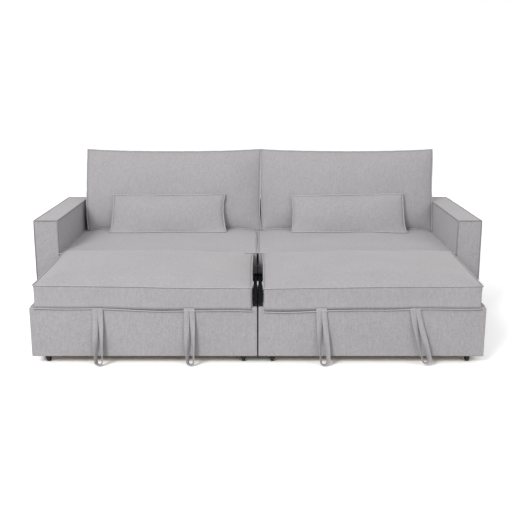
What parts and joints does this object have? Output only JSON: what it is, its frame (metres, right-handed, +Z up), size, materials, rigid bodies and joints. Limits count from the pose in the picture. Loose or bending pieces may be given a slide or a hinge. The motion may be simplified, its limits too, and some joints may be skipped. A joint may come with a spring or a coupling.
{
  "type": "sofa bed",
  "caption": "Sofa bed with square arms, loose back and lumbar cushions, and rolling pull-out units whose cushioned decks rise on parallel arms.",
  "frame": {"origin": "middle of the footprint at floor level, with the pull-out units rolled out as in the picture", "axes": "+X along the sofa to the right as seen from the front, +Y towards the back, +Z up"},
  "size_m": [2.5, 1.5162, 0.9269],
  "materials": {
    "fabric": "fine melange weave, matte",
    "webbing": "sewn self-fabric strap, matte",
    "steel": "black powder coat",
    "plywood": "sanded birch plywood",
    "black_plastic": "moulded, satin",
    "wheel_rubber": "smooth tread"
  },
  "bodies": {
    "sofa": {"armrest_left": "fabric", "armrest_right": "fabric", "back_rest": "fabric", "back_skirt": "fabric", "feet": "black_plastic", "seat_board_left": "plywood", "seat_board_right": "plywood", "seat_border_left": "fabric", "seat_border_right": "fabric", "seat_cushion_left": "fabric", "seat_cushion_right": "fabric", "seat_tube_front": "steel", "seat_tube_middle": "steel", "seat_tube_rear": "steel"},
    "unit_right": {"caster_forks_right": "black_plastic", "glide_strip_right": "black_plastic", "pivot_plates_right": "steel", "pull_strap_1_right": "webbing", "pull_strap_2_right": "webbing", "unit_front_right": "fabric", "unit_rails_right": "plywood", "unit_rear_right": "fabric", "unit_side_inner_right": "fabric", "unit_side_outer_right": "fabric"},
    "lift_front_right": {"lift_arms_front_right": "steel"},
    "lift_rear_right": {"lift_arms_rear_right": "steel"},
    "deck_right": {"deck_board_right": "plywood", "deck_brackets_right": "steel", "front_cushion_right": "fabric"},
    "wheel_front_inner_right": {"wheel_front_inner_right": "wheel_rubber"},
    "wheel_front_outer_right": {"wheel_front_outer_right": "wheel_rubber"},
    "wheel_rear_inner_right": {"wheel_rear_inner_right": "wheel_rubber"},
    "wheel_rear_outer_right": {"wheel_rear_outer_right": "wheel_rubber"},
    "back_right": {"back_cushion_right": "fabric"},
    "lumbar_right": {"lumbar_cushion_right": "fabric"},
    "unit_left": {"caster_forks_left": "black_plastic", "glide_strip_left": "black_plastic", "pivot_plates_left": "steel", "pull_strap_1_left": "webbing", "pull_strap_2_left": "webbing", "unit_front_left": "fabric", "unit_rails_left": "plywood", "unit_rear_left": "fabric", "unit_side_inner_left": "fabric", "unit_side_outer_left": "fabric"},
    "lift_front_left": {"lift_arms_front_left": "steel"},
    "lift_rear_left": {"lift_arms_rear_left": "steel"},
    "deck_left": {"deck_board_left": "plywood", "deck_brackets_left": "steel", "front_cushion_left": "fabric"},
    "wheel_front_inner_left": {"wheel_front_inner_left": "wheel_rubber"},
    "wheel_front_outer_left": {"wheel_front_outer_left": "wheel_rubber"},
    "wheel_rear_inner_left": {"wheel_rear_inner_left": "wheel_rubber"},
    "wheel_rear_outer_left": {"wheel_rear_outer_left": "wheel_rubber"},
    "back_left": {"back_cushion_left": "fabric"},
    "lumbar_left": {"lumbar_cushion_left": "fabric"}
  },
  "joints": [
    {"name": "unit_roll_right", "type": "slide", "parent": "sofa", "child": "unit_right", "axis": [0, -1, 0], "range_m": [0, 0.257]},
    {"name": "arms_front_right", "type": "hinge", "parent": "unit_right", "child": "lift_front_right", "pos_m": [0.558, -0.59507, 0.09843], "axis": [-1, 0, 0], "range_deg": [0, 93]},
    {"name": "arms_rear_right", "type": "hinge", "parent": "unit_right", "child": "lift_rear_right", "pos_m": [0.558, -0.20507, 0.09843], "axis": [-1, 0, 0], "range_deg": [0, 93]},
    {"name": "deck_level_right", "type": "hinge", "parent": "lift_front_right", "child": "deck_right", "pos_m": [0.558, -0.62285, 0.256], "axis": [-1, 0, 0], "range_deg": [-93, 0]},
    {"name": "spin_front_inner_right", "type": "hinge", "parent": "unit_right", "child": "wheel_front_inner_right", "pos_m": [0.072, -0.70285, 0.0175], "axis": [1, 0, 0], "continuous": true},
    {"name": "spin_front_outer_right", "type": "hinge", "parent": "unit_right", "child": "wheel_front_outer_right", "pos_m": [1.044, -0.70285, 0.0175], "axis": [1, 0, 0], "continuous": true},
    {"name": "spin_rear_inner_right", "type": "hinge", "parent": "unit_right", "child": "wheel_rear_inner_right", "pos_m": [0.072, 0.02515, 0.0175], "axis": [1, 0, 0], "continuous": true},
    {"name": "spin_rear_outer_right", "type": "hinge", "parent": "unit_right", "child": "wheel_rear_outer_right", "pos_m": [1.044, 0.02515, 0.0175], "axis": [1, 0, 0], "continuous": true},
    {"name": "back_lift_right", "type": "slide", "parent": "sofa", "child": "back_right", "axis": [0, 0, 1], "range_m": [0, 0.4]},
    {"name": "lumbar_lift_right", "type": "slide", "parent": "back_right", "child": "lumbar_right", "axis": [0, -0.6, 0.8], "range_m": [0, 0.35]},
    {"name": "unit_roll_left", "type": "slide", "parent": "sofa", "child": "unit_left", "axis": [0, -1, 0], "range_m": [0, 0.257]},
    {"name": "arms_front_left", "type": "hinge", "parent": "unit_left", "child": "lift_front_left", "pos_m": [-0.558, -0.59507, 0.09843], "axis": [-1, 0, 0], "range_deg": [0, 93]},
    {"name": "arms_rear_left", "type": "hinge", "parent": "unit_left", "child": "lift_rear_left", "pos_m": [-0.558, -0.20507, 0.09843], "axis": [-1, 0, 0], "range_deg": [0, 93]},
    {"name": "deck_level_left", "type": "hinge", "parent": "lift_front_left", "child": "deck_left", "pos_m": [-0.558, -0.62285, 0.256], "axis": [-1, 0, 0], "range_deg": [-93, 0]},
    {"name": "spin_front_inner_left", "type": "hinge", "parent": "unit_left", "child": "wheel_front_inner_left", "pos_m": [-0.072, -0.70285, 0.0175], "axis": [1, 0, 0], "continuous": true},
    {"name": "spin_front_outer_left", "type": "hinge", "parent": "unit_left", "child": "wheel_front_outer_left", "pos_m": [-1.044, -0.70285, 0.0175], "axis": [1, 0, 0], "continuous": true},
    {"name": "spin_rear_inner_left", "type": "hinge", "parent": "unit_left", "child": "wheel_rear_inner_left", "pos_m": [-0.072, 0.02515, 0.0175], "axis": [1, 0, 0], "continuous": true},
    {"name": "spin_rear_outer_left", "type": "hinge", "parent": "unit_left", "child": "wheel_rear_outer_left", "pos_m": [-1.044, 0.02515, 0.0175], "axis": [1, 0, 0], "continuous": true},
    {"name": "back_lift_left", "type": "slide", "parent": "sofa", "child": "back_left", "axis": [0, 0, 1], "range_m": [0, 0.4]},
    {"name": "lumbar_lift_left", "type": "slide", "parent": "back_left", "child": "lumbar_left", "axis": [0, -0.6, 0.8], "range_m": [0, 0.35]}
  ],
  "couplings": [
    {"joint": "arms_front_right", "follows": "unit_roll_right", "rad_per_m": 6.3},
    {"joint": "arms_rear_right", "follows": "unit_roll_right", "rad_per_m": 6.3},
    {"joint": "deck_level_right", "follows": "unit_roll_right", "rad_per_m": -6.3},
    {"joint": "arms_front_left", "follows": "unit_roll_left", "rad_per_m": 6.3},
    {"joint": "arms_rear_left", "follows": "unit_roll_left", "rad_per_m": 6.3},
    {"joint": "deck_level_left", "follows": "unit_roll_left", "rad_per_m": -6.3}
  ]
}
